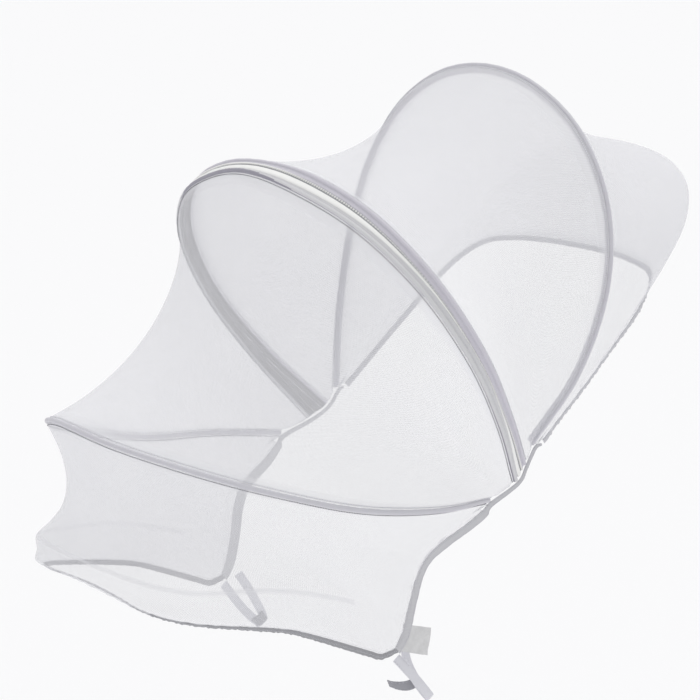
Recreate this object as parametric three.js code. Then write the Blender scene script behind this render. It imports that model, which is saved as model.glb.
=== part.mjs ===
import * as THREE from 'three';

// A fitted mosquito net on three sprung bows. All sizes are in millimetres.
// X runs from the foot end to the head end, Y from the near side to the far side, Z up.
// The pieces are laid out from a point midway between the feet of the bows, in a group that
// is moved so that the origin is the spot under the top of the net that it hangs from.

const netThickness = 1.0;
const seamGap = 0.35;            // clear gap at each seam
const bandGap = 0.5;             // clear gap between a panel and the band along its edge
const steps = 44;                // steps along every bow and every long edge, foot to foot
const hoodRest = { x: 134, z: 443 };

const wireCasing = 2.9;          // radius of the sewn channel round a wire
const footBowCasing = 3.1;       // radius of the plain round casing of the foot bow
const rearBowTape = 8;           // flat tape inside the rear bow
const zipBowTape = 5.5;          // flat tape beside each wire of the zip bow
const tapeThickness = 1.6;
const zipTapeThickness = 1.2;
const coilWidth = 5;
const coilHeight = 2.2;
const bindingWidth = 11.5;       // side bindings
const elasticWidth = 8;          // lower and rear elastic
const bindingThickness = 2.0;
const strapWidth = 12.5;
const strapThickness = 1.6;

// Each bow leans by pitch from the foot end. reach is the distance from its feet along that
// slope, half is half its width there, and rise lifts it square to the slope.
const rearBow = {
  foot: { x: 48, z: -2 }, pitch: 100.6,
  table: [
    { reach: 0, half: 229, rise: 0 }, { reach: 98, half: 276, rise: 18 },
    { reach: 210, half: 294, rise: 27 }, { reach: 307, half: 274, rise: 24 },
    { reach: 393, half: 211, rise: 14 }, { reach: 448, half: 112, rise: 4 },
    { reach: 466, half: 0, rise: 0 },
  ],
};
const zipRearBow = {
  foot: { x: 34, z: -25 }, pitch: 57.8,
  table: [
    { reach: 0, half: 231, rise: 0 }, { reach: 98, half: 287, rise: -13 },
    { reach: 207, half: 319, rise: -19 }, { reach: 309, half: 295, rise: -16 },
    { reach: 387, half: 218, rise: -8 }, { reach: 428, half: 112, rise: -2 },
    { reach: 439, half: 0, rise: 0 },
  ],
};
const zipFrontBow = {
  foot: { x: 14, z: -42 }, pitch: 57.3,
  table: [
    { reach: 0, half: 241, rise: 0 }, { reach: 104, half: 292, rise: -6 },
    { reach: 210, half: 316, rise: -9 }, { reach: 310, half: 293, rise: -8 },
    { reach: 387, half: 219, rise: -4 }, { reach: 433, half: 108, rise: -1 },
    { reach: 451, half: 0, rise: 0 },
  ],
};
const footBow = {
  foot: { x: -31, z: -61 }, pitch: 0,
  table: [
    { reach: 0, half: 246, rise: 0 }, { reach: 96, half: 277, rise: 5 },
    { reach: 194, half: 256, rise: 14 }, { reach: 289, half: 203, rise: 37 },
    { reach: 378, half: 142, rise: 67 }, { reach: 442, half: 80, rise: 93 },
    { reach: 468, half: 0, rise: 109 },
  ],
};

// Near halves of the long edges, from the foot of the bows to the middle of the net.
const lowerFold = [
  { x: -42, y: 246, z: -71 }, { x: -77, y: 236, z: -97 }, { x: -99, y: 232, z: -109 },
  { x: -112, y: 229, z: -122 }, { x: -122, y: 226, z: -137 }, { x: -131, y: 221, z: -171 },
  { x: -136, y: 219, z: -193 }, { x: -141, y: 217, z: -214 }, { x: -146, y: 216, z: -228 },
  { x: -152, y: 214, z: -239 }, { x: -163, y: 213, z: -241 }, { x: -178, y: 212, z: -236 },
  { x: -226, y: 208, z: -217 }, { x: -288, y: 205, z: -195 }, { x: -351, y: 201, z: -183 },
  { x: -406, y: 194, z: -175 }, { x: -449, y: 173, z: -167 }, { x: -470, y: 130, z: -161 },
  { x: -475, y: 65, z: -158 }, { x: -476, y: 0, z: -157 },
];
const headRim = [
  { x: 58, y: 231, z: 1 }, { x: 155, y: 240, z: 106 }, { x: 257, y: 228, z: 203 },
  { x: 322, y: 206, z: 268 }, { x: 352, y: 170, z: 308 }, { x: 364, y: 118, z: 333 },
  { x: 368, y: 56, z: 343 }, { x: 369, y: 0, z: 345 },
];
const rearEdge = [
  { x: 64, y: 230, z: 2 }, { x: 155, y: 227, z: 88 }, { x: 238, y: 214, z: 168 },
  { x: 271, y: 187, z: 195 }, { x: 284, y: 130, z: 206 }, { x: 289, y: 65, z: 210 },
  { x: 290, y: 0, z: 211 },
];

// Where the steps along the fold fall on its near half: closer together at the lower corner.
const foldSteps = [
  { step: 0, at: 0 }, { step: 6, at: 0.255 }, { step: 10, at: 0.345 }, { step: 22, at: 1 },
];
const cornerStep = 8;

// Above the fold the net lies on an upright wall, and past the fold it is tucked under.
const footEnd = [
  { step: 0, wall: 3, out: 0, tuck: 0 }, { step: 7.5, wall: 30, out: 3, tuck: 0 },
  { step: 10.5, wall: 50, out: 5, tuck: 3 }, { step: 13.6, wall: 46, out: 3, tuck: 7 },
  { step: 17, wall: 34, out: 0, tuck: 13 }, { step: 22, wall: 28, out: -1, tuck: 17 },
];
const hemDrop = 4;

// How far past the feet of the bows the cloth ends and the side bindings start.
const clothPastFeet = { x: 1.9, y: 0, z: -1.4 };
const outOfFeet = { x: 2.6, y: 0, z: -2.0 };
const outOfRearFoot = { x: 3.4, y: 0, z: -3.2 };

// How far each panel is drawn along the bows, for one part across from seam to seam. A
// larger pull brings the waist of a panel further in.
const panelPull = { top: 2.6, front: 1.9, foot: 1.05, rear: 1.4 };
const creaseRounding = { foot: 0.35, rear: 0.3 };

const colours = {
  net: 0xe6e6ea, casing: 0xd2d2da, shaded: 0xc4c1cc, zip: 0xe2dfd6, coil: 0xf0efe9,
  binding: 0xc9cacd, strap: 0xdcdce4, hook: 0x9a9aa0, label: 0xf1f1ef, slider: 0xb9bbc0,
};

const upward = new THREE.Vector3(0, 0, 1);

function fabric(colour) {
  return new THREE.MeshStandardMaterial({ color: colour, roughness: 0.85, metalness: 0 });
}

function metal(colour) {
  return new THREE.MeshStandardMaterial({ color: colour, roughness: 0.35, metalness: 0.9 });
}

// The value of a column at a step, between the rows of a table.
function tableValue(table, step, column, ease = (part) => part) {
  const next = Math.max(1, table.findIndex((row) => row.step >= step));
  const low = table[next - 1];
  const high = table[next];
  const part = (step - low.step) / (high.step - low.step);
  return THREE.MathUtils.lerp(low[column], high[column], ease(part));
}

// Points on a smooth curve through the near half and its mirror image, evenly spaced
// unless a table of steps is given.
const evenSteps = [{ step: 0, at: 0 }, { step: steps / 2, at: 1 }];
function mirroredPath(nearHalf, stepTable = evenSteps) {
  const near = nearHalf.map((p) => new THREE.Vector3(p.x, -p.y, p.z));
  const far = near.slice(0, -1).reverse().map((p) => new THREE.Vector3(p.x, -p.y, p.z));
  const curve = new THREE.CatmullRomCurve3([...near, ...far], false, 'centripetal');
  curve.arcLengthDivisions = 800;
  const path = [];
  for (let i = 0; i <= steps / 2; i += 1) {
    path.push(curve.getPointAt(tableValue(stepTable, i, 'at') / 2));
  }
  path[steps / 2].y = 0;
  const mirrored = path.slice(0, -1).reverse().map((p) => new THREE.Vector3(p.x, -p.y, p.z));
  return [...path, ...mirrored];
}

function bowPath(bow) {
  const pitch = THREE.MathUtils.degToRad(bow.pitch);
  return mirroredPath(bow.table.map(({ reach, half, rise }) => ({
    x: bow.foot.x - reach * Math.cos(pitch) + rise * Math.sin(pitch),
    y: half,
    z: bow.foot.z + reach * Math.sin(pitch) + rise * Math.cos(pitch),
  })));
}

function tangents(path) {
  return path.map((point, i) => {
    const before = path[Math.max(i - 1, 0)];
    const after = path[Math.min(i + 1, path.length - 1)];
    return after.clone().sub(before).normalize();
  });
}

// The part of each side vector that is square to the path, at unit length.
function squared(path, sides) {
  return tangents(path).map((along, i) => {
    const side = sides[i].clone().addScaledVector(along, -sides[i].dot(along));
    return side.normalize();
  });
}

// Directions from one path to another. lean, along X, steadies them where the paths meet.
function towards(path, other, lean = 0) {
  return squared(path, path.map((point, i) => {
    const side = other[i].clone().sub(point);
    side.x += lean;
    return side;
  }));
}

// Directions in the plane of a bow that point into its loop.
function intoLoop(path) {
  const middle = new THREE.Vector3();
  path.forEach((point) => middle.addScaledVector(point, 1 / path.length));
  return squared(path, path.map((point) => middle.clone().sub(point)));
}

function shifted(path, directions, distance) {
  return path.map((point, i) => point.clone().addScaledVector(directions[i], distance));
}

// A closed mesh from rings of points, each ring in the same order, capped at both ends.
function closedLoft(rings, capTriangles) {
  const size = rings[0].length;
  const points = rings.flat().flatMap((p) => [p.x, p.y, p.z]);
  const index = [];
  for (let r = 0; r < rings.length - 1; r += 1) {
    for (let k = 0; k < size; k += 1) {
      const a = r * size + k;
      const b = r * size + ((k + 1) % size);
      index.push(a, b, b + size, a, b + size, a + size);
    }
  }
  const last = (rings.length - 1) * size;
  capTriangles.forEach(([a, b, c]) => {
    index.push(a, c, b);
    index.push(last + a, last + b, last + c);
  });
  const geometry = new THREE.BufferGeometry();
  geometry.setAttribute('position', new THREE.Float32BufferAttribute(points, 3));
  geometry.setIndex(index);
  geometry.computeVertexNormals();
  return geometry;
}

// Sweeps a flat section along a path. In the section u runs along sides and v runs across.
function sweep(path, sides, section) {
  const along = tangents(path);
  const square = squared(path, sides);
  const rings = path.map((point, i) => {
    const across = along[i].clone().cross(square[i]);
    return section.map(({ u, v }) => point.clone()
      .addScaledVector(square[i], u)
      .addScaledVector(across, v));
  });
  const outline = section.map(({ u, v }) => new THREE.Vector2(u, v));
  return closedLoft(rings, THREE.ShapeUtils.triangulateShape(outline, []));
}

// A round channel with a flat tape of the given width along u, or none.
function casingSection(radius, tape, corners = 8) {
  const half = tapeThickness / 2;
  const opening = tape > 0 ? Math.asin(half / radius) : Math.PI / corners;
  const section = [];
  for (let k = 0; k < corners; k += 1) {
    const angle = opening + ((2 * Math.PI - 2 * opening) * k) / (corners - 1);
    section.push({ u: radius * Math.cos(angle), v: radius * Math.sin(angle) });
  }
  if (tape > 0) {
    section.push({ u: radius + tape, v: -half }, { u: radius + tape, v: half });
  }
  return section;
}

function flatSection(from, to, thickness, lift = 0) {
  const half = thickness / 2;
  return [
    { u: from, v: lift - half }, { u: to, v: lift - half },
    { u: to, v: lift + half }, { u: from, v: lift + half },
  ];
}

// A grid of points between two edges, then drawn taut between its held points. Between the
// feet of two bows the cloth reaches out to the side binding.
function drawnPanel(guides, rowCounts, held, pull, rounds = 400) {
  const grid = [guides[0]];
  rowCounts.forEach((count, k) => {
    for (let j = 1; j <= count; j += 1) {
      const row = guides[k].map((p, i) => p.clone().lerp(guides[k + 1][i], j / count));
      grid.push(row);
    }
  });
  for (let j = 2; j < rowCounts[0] - 1; j += 1) {
    grid[j][0].add(clothPastFeet);
    grid[j][grid[j].length - 1].add(clothPastFeet);
  }
  const lastRow = grid.length - 1;
  const guideRows = [];
  rowCounts.reduce((sum, count) => {
    guideRows.push(sum + count);
    return sum + count;
  }, 0);
  for (let round = 0; round < rounds; round += 1) {
    for (let j = 1; j < lastRow; j += 1) {
      const guide = guideRows.indexOf(j);
      for (let i = 1; i < grid[j].length - 1; i += 1) {
        if (guide >= 0 && held[guide](i)) continue;
        const sum = new THREE.Vector3();
        sum.add(grid[j - 1][i]).add(grid[j + 1][i]);
        sum.addScaledVector(grid[j][i - 1], pull).addScaledVector(grid[j][i + 1], pull);
        grid[j][i].copy(sum.divideScalar(2 + 2 * pull));
      }
    }
  }
  return grid;
}

// Rounds the creases of a grid a little, leaving its edges where they are.
function softened(grid, amount) {
  for (let j = 1; j < grid.length - 1; j += 1) {
    for (let i = 1; i < grid[j].length - 1; i += 1) {
      const middle = grid[j - 1][i].clone().lerp(grid[j + 1][i], 0.5);
      grid[j][i].lerp(middle, amount);
    }
  }
  return grid;
}

function gridNormals(grid) {
  return grid.map((row, j) => row.map((point, i) => {
    const across = grid[Math.min(j + 1, grid.length - 1)][i].clone();
    across.sub(grid[Math.max(j - 1, 0)][i]);
    const along = row[Math.min(i + 1, row.length - 1)].clone();
    along.sub(row[Math.max(i - 1, 0)]);
    return along.cross(across).normalize();
  }));
}

// The closed solid of a sheet of cloth that follows a grid of points.
function clothSolid(grid, thickness) {
  const normals = gridNormals(grid);
  const columns = grid[0].length;
  const layer = (sign) => grid.flatMap((row, j) => row.map((point, i) => (
    point.clone().addScaledVector(normals[j][i], (sign * thickness) / 2))));
  const points = [...layer(1), ...layer(-1)].flatMap((p) => [p.x, p.y, p.z]);
  const below = grid.length * columns;
  const index = [];
  for (let j = 0; j < grid.length - 1; j += 1) {
    for (let i = 0; i < columns - 1; i += 1) {
      const a = j * columns + i;
      const b = a + 1;
      const c = a + columns;
      const d = c + 1;
      index.push(a, b, d, a, d, c);
      index.push(below + a, below + d, below + b, below + a, below + c, below + d);
    }
  }
  const rim = [];
  for (let i = 0; i < columns - 1; i += 1) rim.push([i + 1, i]);
  for (let j = 0; j < grid.length - 1; j += 1) rim.push([j * columns, (j + 1) * columns]);
  const last = (grid.length - 1) * columns;
  for (let i = 0; i < columns - 1; i += 1) rim.push([last + i, last + i + 1]);
  for (let j = grid.length - 1; j > 0; j -= 1) {
    rim.push([(j + 1) * columns - 1, j * columns - 1]);
  }
  rim.forEach(([a, b]) => index.push(a, b, below + b, a, below + b, below + a));
  const geometry = new THREE.BufferGeometry();
  geometry.setAttribute('position', new THREE.Float32BufferAttribute(points, 3));
  geometry.setIndex(index);
  geometry.computeVertexNormals();
  return geometry;
}

const net = new THREE.Group();
const layout = new THREE.Group();
net.add(layout);

function addPiece(name, geometry, material) {
  const piece = new THREE.Mesh(geometry, material);
  piece.name = name;
  layout.add(piece);
  return piece;
}

// Bows
const rearPath = bowPath(rearBow);
const zipRearPath = bowPath(zipRearBow);
const zipFrontPath = bowPath(zipFrontBow);
const footPath = bowPath(footBow);

addPiece('bow_rear', sweep(rearPath, intoLoop(rearPath), casingSection(wireCasing, rearBowTape)),
  fabric(colours.casing));
addPiece('bow_zip_rear',
  sweep(zipRearPath, towards(zipRearPath, zipFrontPath), casingSection(wireCasing, zipBowTape)),
  fabric(colours.shaded));
addPiece('bow_zip_front',
  sweep(zipFrontPath, towards(zipFrontPath, zipRearPath), casingSection(wireCasing, zipBowTape)),
  fabric(colours.casing));
addPiece('bow_foot', sweep(footPath, intoLoop(footPath), casingSection(footBowCasing, 0)),
  fabric(colours.casing));

// Panels
const panelStart = wireCasing + seamGap;
const footPanelStart = footBowCasing + bandGap;
const footLean = 25;
const free = () => false;

function betweenBows(first, second, firstGap, secondGap) {
  return [
    shifted(first, towards(first, second, -footLean), firstGap),
    shifted(second, towards(second, first, footLean), secondGap),
  ];
}

const topGrid = drawnPanel(betweenBows(rearPath, zipRearPath, panelStart, panelStart),
  [8], [free], panelPull.top);
addPiece('net_top', clothSolid(topGrid, netThickness), fabric(colours.net));

const frontGrid = drawnPanel(
  betweenBows(zipFrontPath, footPath, panelStart, footPanelStart), [9], [free], panelPull.front);
addPiece('net_front', clothSolid(frontGrid, netThickness), fabric(colours.net));

const foldPath = mirroredPath(lowerFold, foldSteps);
const middleOfFoot = new THREE.Vector3(-250, 0, -180);
const easeInOut = (part) => THREE.MathUtils.smoothstep(part, 0, 1);
const wallFrom = 11;             // the first step where the wall stands clear of the corner

// Rows of the foot panel: along the foot bow, the top of the wall, the fold and the hem.
function footGuides() {
  const start = [];
  const wallTop = [];
  const hem = [];
  const along = tangents(foldPath);
  foldPath.forEach((point, i) => {
    const step = Math.min(i, steps - i);
    const outward = point.clone().sub(middleOfFoot).setZ(0).normalize();
    const down = outward.clone().cross(along[i]).normalize();
    const up = upward.clone().sub(down).normalize();
    const out = tableValue(footEnd, step, 'out', easeInOut);
    const wall = tableValue(footEnd, step, 'wall', easeInOut);
    const tuck = tableValue(footEnd, step, 'tuck', easeInOut);
    wallTop.push(point.clone().addScaledVector(outward, out).addScaledVector(up, wall));
    hem.push(point.clone().addScaledVector(outward, -tuck).addScaledVector(down, hemDrop));
  });
  start.push(...shifted(footPath, towards(footPath, wallTop), footPanelStart));
  return [start, wallTop, foldPath.map((p) => p.clone()), hem];
}
const onWall = (i) => Math.min(i, steps - i) >= wallFrom;
const footGrid = softened(
  drawnPanel(footGuides(), [7, 2, 1], [onWall, () => true, free], panelPull.foot),
  creaseRounding.foot);
addPiece('net_foot', clothSolid(footGrid, netThickness), fabric(colours.net));

const rimPath = mirroredPath(headRim);
const rearEdgePath = mirroredPath(rearEdge);
const rearStart = shifted(rearPath, towards(rearPath, rimPath, footLean), panelStart);
const rearGrid = softened(
  drawnPanel([rearStart, rimPath, rearEdgePath], [8, 4], [() => true, free], panelPull.rear),
  creaseRounding.rear);
addPiece('net_rear', clothSolid(rearGrid, netThickness), fabric(colours.net));

// Zip: the tape between the two casings, the coil on it, and the slider parked at the far foot.
const tapeStart = wireCasing + zipBowTape + seamGap;
const tapeGrid = [
  shifted(zipFrontPath, towards(zipFrontPath, zipRearPath), tapeStart),
  shifted(zipRearPath, towards(zipRearPath, zipFrontPath), tapeStart),
];
addPiece('zip_tape', clothSolid(tapeGrid, zipTapeThickness), fabric(colours.zip));

const coilPath = tapeGrid[0].map((point, i) => point.clone().lerp(tapeGrid[1][i], 0.5));
const coilSides = towards(coilPath, tapeGrid[1]);
const coilLift = zipTapeThickness / 2 + bandGap + coilHeight / 2;
addPiece('zip_coil',
  sweep(coilPath, coilSides,
    flatSection(-coilWidth / 2, coilWidth / 2, coilHeight, -coilLift)),
  fabric(colours.coil));

// A point and the directions of the coil half way along the step after station i.
function coilFrame(i) {
  const along = coilPath[i + 1].clone().sub(coilPath[i]).normalize();
  const side = tapeGrid[1][i].clone().sub(tapeGrid[0][i]);
  side.addScaledVector(along, -side.dot(along)).normalize();
  return { middle: coilPath[i].clone().lerp(coilPath[i + 1], 0.5), along, side };
}

function sliderBlock(frame, from, to, width, low, high) {
  const out = frame.side.clone().cross(frame.along);
  const ends = [from, to].map((reach) => (
    frame.middle.clone().addScaledVector(frame.along, reach)));
  const half = (high - low) / 2;
  const path = ends.map((p) => p.addScaledVector(out, low + half));
  return sweep(path, [frame.side, frame.side], flatSection(-width / 2, width / 2, 2 * half));
}
const slider = { station: steps - 4, length: 11, width: 8, thick: 2.6 };
const pullTab = { start: -2, end: 22, width: 5.5, thick: 1.6 };
const sliderFrame = coilFrame(slider.station);
const coilTop = coilLift + coilHeight / 2;
const sliderLow = coilTop + seamGap;
addPiece('zip_slider',
  sliderBlock(sliderFrame, -slider.length / 2, slider.length / 2, slider.width,
    sliderLow, sliderLow + slider.thick),
  metal(colours.slider));
const tabLow = sliderLow + slider.thick + seamGap;
addPiece('zip_pull',
  sliderBlock(sliderFrame, pullTab.start, pullTab.end, pullTab.width,
    tabLow, tabLow + pullTab.thick),
  metal(colours.slider));

// Bindings
function mirroredGeometry(geometry) {
  const copy = geometry.clone();
  copy.scale(1, -1, 1);
  const index = copy.getIndex();
  for (let k = 0; k < index.count; k += 3) {
    const first = index.getX(k);
    index.setX(k, index.getX(k + 1));
    index.setX(k + 1, first);
  }
  copy.computeVertexNormals();
  return copy;
}

// Flat sections for a band along the edge of a panel, square to the panel's own normals. The
// first of them may be narrower.
function bandRings(edge, normals, width, firstWidths = []) {
  const along = tangents(edge);
  return edge.map((point, i) => {
    const side = normals[i].clone().cross(along[i]).normalize();
    const end = bandGap + (firstWidths[i] ?? width);
    return flatSection(bandGap, end, bindingThickness).map(({ u, v }) => (
      point.clone().addScaledVector(side, u).addScaledVector(normals[i], v)));
  });
}

function bandSolid(rings) {
  return closedLoft(rings, [[0, 1, 2], [0, 2, 3]]);
}

// The side bindings start where the rear elastic ends, pass the feet of the bows and end at
// the lower corners.
const footEdge = footGrid[footGrid.length - 1];
const footNormals = gridNormals(footGrid)[footGrid.length - 1];
const nearward = new THREE.Vector3(0, -1, 0);
const bowFeet = [rearPath[0], zipRearPath[0], zipFrontPath[0], footPath[0]];

// From the corner of the rear hem to the start of a side binding, and the widths of its first
// sections, past the feet.
const beforeElastic = { x: -2.5, y: 0, z: -3.5 };
const widthsAtFeet = [6, 5.5, 5.5, 6, 7.5, 9, 10.5];

function sideBinding() {
  const rearEnd = rearGrid[rearGrid.length - 1][0].clone().add(beforeElastic);
  const feet = bowFeet.map((foot, k) => foot.clone().add(k === 0 ? outOfRearFoot : outOfFeet));
  const edge = [rearEnd, ...feet, ...footEdge];
  const normals = [rearEnd, ...bowFeet, footEdge[0]].map(() => nearward.clone());
  normals.push(...footNormals.slice(1).map((normal) => normal.clone().add(nearward).normalize()));
  const corner = 1 + bowFeet.length + cornerStep;
  const rings = bandRings(edge, normals, bindingWidth, widthsAtFeet).slice(0, corner + 1);
  const back = tangents(edge)[corner].multiplyScalar(-bandGap);
  rings[corner].forEach((point) => point.add(back));
  return bandSolid(rings);
}
const nearBinding = sideBinding();
addPiece('binding_side_near', nearBinding, fabric(colours.binding));
addPiece('binding_side_far', mirroredGeometry(nearBinding), fabric(colours.binding));

const lowerRings = bandRings(footEdge, footNormals, elasticWidth);
addPiece('elastic_lower',
  bandSolid(lowerRings.slice(cornerStep, steps - cornerStep + 1)), fabric(colours.binding));

const rearHem = rearGrid[rearGrid.length - 1];
addPiece('elastic_rear',
  bandSolid(bandRings(rearHem, gridNormals(rearGrid)[rearGrid.length - 1], elasticWidth)),
  fabric(colours.binding));

// Fixing straps: each is a loop of webbing from the lower corner, with a hook-and-loop end.
// run is the distance down the slope of the strap, over the distance across it, and y the
// distance from the middle of the net.
const strapLoop = [
  { run: 0, over: 0, y: 211.5 }, { run: 16, over: 0, y: 215 }, { run: 36, over: 0, y: 218 },
  { run: 60, over: 0, y: 218 }, { run: 77, over: 1, y: 213 }, { run: 83, over: 3, y: 204 },
  { run: 79, over: 5, y: 195 }, { run: 64, over: 8, y: 188 }, { run: 44, over: 12, y: 187 },
  { run: 28, over: 16, y: 190 }, { run: 12, over: 20, y: 196 }, { run: 1, over: 23, y: 203 },
];
const strapTop = { x: -145, z: -254 };
const strapSlope = THREE.MathUtils.degToRad(-50);
const strapDown = new THREE.Vector3(Math.cos(strapSlope), 0, Math.sin(strapSlope));
const strapAcross = new THREE.Vector3(-strapDown.z, 0, strapDown.x);

function strapPoint({ run, over, y }) {
  return new THREE.Vector3(strapTop.x, -y, strapTop.z)
    .addScaledVector(strapDown, run)
    .addScaledVector(strapAcross, over);
}

function webbing(points, count, across, width, thickness) {
  const path = new THREE.CatmullRomCurve3(points, false, 'centripetal').getSpacedPoints(count);
  return sweep(path, path.map(() => across), flatSection(-width / 2, width / 2, thickness));
}
const strapSteps = 24;
const strap = webbing(
  strapLoop.map(strapPoint), strapSteps, strapAcross, strapWidth, strapThickness);
addPiece('strap_near', strap, fabric(colours.strap));
addPiece('strap_far', mirroredGeometry(strap), fabric(colours.strap));

const hookEnd = [
  { run: 66, over: 9, y: 184.5 }, { run: 65, over: 2, y: 182.5 }, { run: 62, over: -4, y: 180 },
  { run: 58, over: -9, y: 176 }, { run: 54, over: -13, y: 170 }, { run: 51, over: -15, y: 163 },
];
const hookWidth = 15;
const hookSteps = 8;
const hookPiece = webbing(
  hookEnd.map(strapPoint), hookSteps, strapDown, hookWidth, strapThickness);
addPiece('strap_hook_near', hookPiece, fabric(colours.hook));
addPiece('strap_hook_far', mirroredGeometry(hookPiece), fabric(colours.hook));

// Care label, sewn behind the near binding and standing past it.
const labelCorners = {
  top: { x: -135, y: -212, z: -212 }, topOut: { x: -91, y: -211.5, z: -224 },
  low: { x: -137, y: -210, z: -247 }, lowOut: { x: -94, y: -210, z: -260 },
};
const labelCurl = 3;
const labelSteps = 4;

function labelPoint(out, down) {
  const { top, topOut, low, lowOut } = labelCorners;
  const mixed = (axis) => THREE.MathUtils.lerp(
    THREE.MathUtils.lerp(top[axis], topOut[axis], out),
    THREE.MathUtils.lerp(low[axis], lowOut[axis], out), down);
  return new THREE.Vector3(mixed('x'), mixed('y') + labelCurl * out * out, mixed('z'));
}

function labelGrid() {
  const places = Array.from({ length: labelSteps + 1 }, (_, k) => k / labelSteps);
  return places.map((down) => places.map((out) => labelPoint(out, down)));
}
addPiece('care_label', clothSolid(labelGrid(), netThickness), fabric(colours.label));

layout.position.set(-hoodRest.x, 0, -hoodRest.z);

export default net;
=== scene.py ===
import math

import bpy
import numpy as np
from mathutils import Matrix, Vector


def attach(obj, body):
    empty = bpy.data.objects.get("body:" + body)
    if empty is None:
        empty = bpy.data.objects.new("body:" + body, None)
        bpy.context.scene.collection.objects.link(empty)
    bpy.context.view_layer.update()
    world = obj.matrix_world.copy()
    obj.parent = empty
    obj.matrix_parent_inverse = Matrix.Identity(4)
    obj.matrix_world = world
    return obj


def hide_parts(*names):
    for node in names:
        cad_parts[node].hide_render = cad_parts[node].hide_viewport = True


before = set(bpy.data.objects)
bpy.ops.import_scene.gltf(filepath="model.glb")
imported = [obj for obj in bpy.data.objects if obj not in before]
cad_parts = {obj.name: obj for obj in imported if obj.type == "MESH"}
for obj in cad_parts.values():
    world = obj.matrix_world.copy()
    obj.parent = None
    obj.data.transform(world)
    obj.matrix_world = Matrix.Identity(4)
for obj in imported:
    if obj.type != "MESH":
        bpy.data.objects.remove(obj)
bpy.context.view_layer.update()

scene = bpy.context.scene
bpy.ops.object.select_all(action="DESELECT")
print("frame loaded")

# Camera

view = {
    "azimuth": -33,
    "elevation": 10,
    "distance": 3.5,
    "target": (-0.210, 0, -0.347),
    "lens": 138.86,                     # with a sensor 36 mm wide
}


def makeCamera():
    turn, lift = math.radians(view["azimuth"]), math.radians(view["elevation"])
    back = Vector((math.sin(turn) * math.cos(lift), -math.cos(turn) * math.cos(lift), math.sin(lift)))
    data = bpy.data.cameras.new("camera")
    data.lens = view["lens"]
    data.sensor_width = 36
    data.clip_end = 100
    camera = bpy.data.objects.new("camera", data)
    camera.location = Vector(view["target"]) + back * view["distance"]
    camera.rotation_euler = (-back).to_track_quat("-Z", "Y").to_euler()
    scene.collection.objects.link(camera)
    scene.camera = camera


makeCamera()
print("camera set")

# Materials. Lengths in a material are millimetres on the piece's own UV map.


def colour(code):
    # sRGB hex to the linear values of a colour socket
    channels = [int(code[i:i + 2], 16) / 255 for i in (1, 3, 5)]
    linear = [c / 12.92 if c <= 0.04045 else ((c + 0.055) / 1.055) ** 2.4 for c in channels]
    return (*linear, 1)


def addNode(tree, kind, settings, inputs):
    # inputs take a value or another node's output
    node = tree.nodes.new(kind)
    for name, value in settings.items():
        setattr(node, name, value)
    for name, value in inputs.items():
        if isinstance(value, bpy.types.NodeSocket):
            tree.links.new(value, node.inputs[name])
        else:
            node.inputs[name].default_value = value
    return node


def wave(tree, length, pitch):
    # a sine along one UV direction, from -1 to 1
    turn = addNode(tree, "ShaderNodeMath", {"operation": "MULTIPLY"}, {0: length, 1: 2 * math.pi / pitch})
    return addNode(tree, "ShaderNodeMath", {"operation": "SINE"}, {0: turn.outputs[0]}).outputs[0]


def startMaterial(name, inputs):
    # a Principled material with its constants set
    material = bpy.data.materials.new(name)
    material.use_nodes = True
    shader = material.node_tree.nodes["Principled BSDF"]
    for socket, value in inputs.items():
        shader.inputs[socket].default_value = value
    return material, material.node_tree, shader


polyesterIor = 1.53


def wovenMaterial(name, light, dark, threads, relief, roughness, sheen, shine=0.4, patchesAndPaintedShade=0.35):
    # threads: pitch across and along the piece. patchesAndPaintedShade: how far large soft noise mixes in,
    # as uneven patches of tone and, on the label, as painted shade for crumples.
    material, tree, shader = startMaterial(name, {
        "Roughness": roughness, "Sheen Weight": sheen, "Specular IOR Level": shine, "IOR": polyesterIor})
    uv = addNode(tree, "ShaderNodeUVMap", {"uv_map": "cloth"}, {})
    axes = addNode(tree, "ShaderNodeSeparateXYZ", {}, {0: uv.outputs[0]})
    over = wave(tree, axes.outputs[0], threads[0])
    under = wave(tree, axes.outputs[1], threads[1])
    weave = addNode(tree, "ShaderNodeMath", {"operation": "MULTIPLY"}, {0: over, 1: under})
    raised = addNode(tree, "ShaderNodeMath", {"operation": "MULTIPLY_ADD"},
                     {0: weave.outputs[0], 1: 0.5, 2: 0.5})
    # uneven patches, the largest some 17 mm across; on the label they are painted shade
    noise = addNode(tree, "ShaderNodeTexNoise", {},
                    {"Vector": uv.outputs[0], "Scale": 0.06, "Detail": 4.0, "Roughness": 0.6})
    mixed = addNode(tree, "ShaderNodeMix", {"data_type": "FLOAT"},
                    {0: patchesAndPaintedShade, 2: raised.outputs[0], 3: noise.outputs[0]})
    tint = addNode(tree, "ShaderNodeMix", {"data_type": "RGBA"},
                   {0: mixed.outputs[0], 6: colour(dark), 7: colour(light)})
    bump = addNode(tree, "ShaderNodeBump", {},
                   {"Strength": 0.8, "Distance": relief / 1000, "Height": raised.outputs[0]})
    tree.links.new(tint.outputs[2], shader.inputs["Base Color"])
    tree.links.new(bump.outputs[0], shader.inputs["Normal"])
    return material


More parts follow.
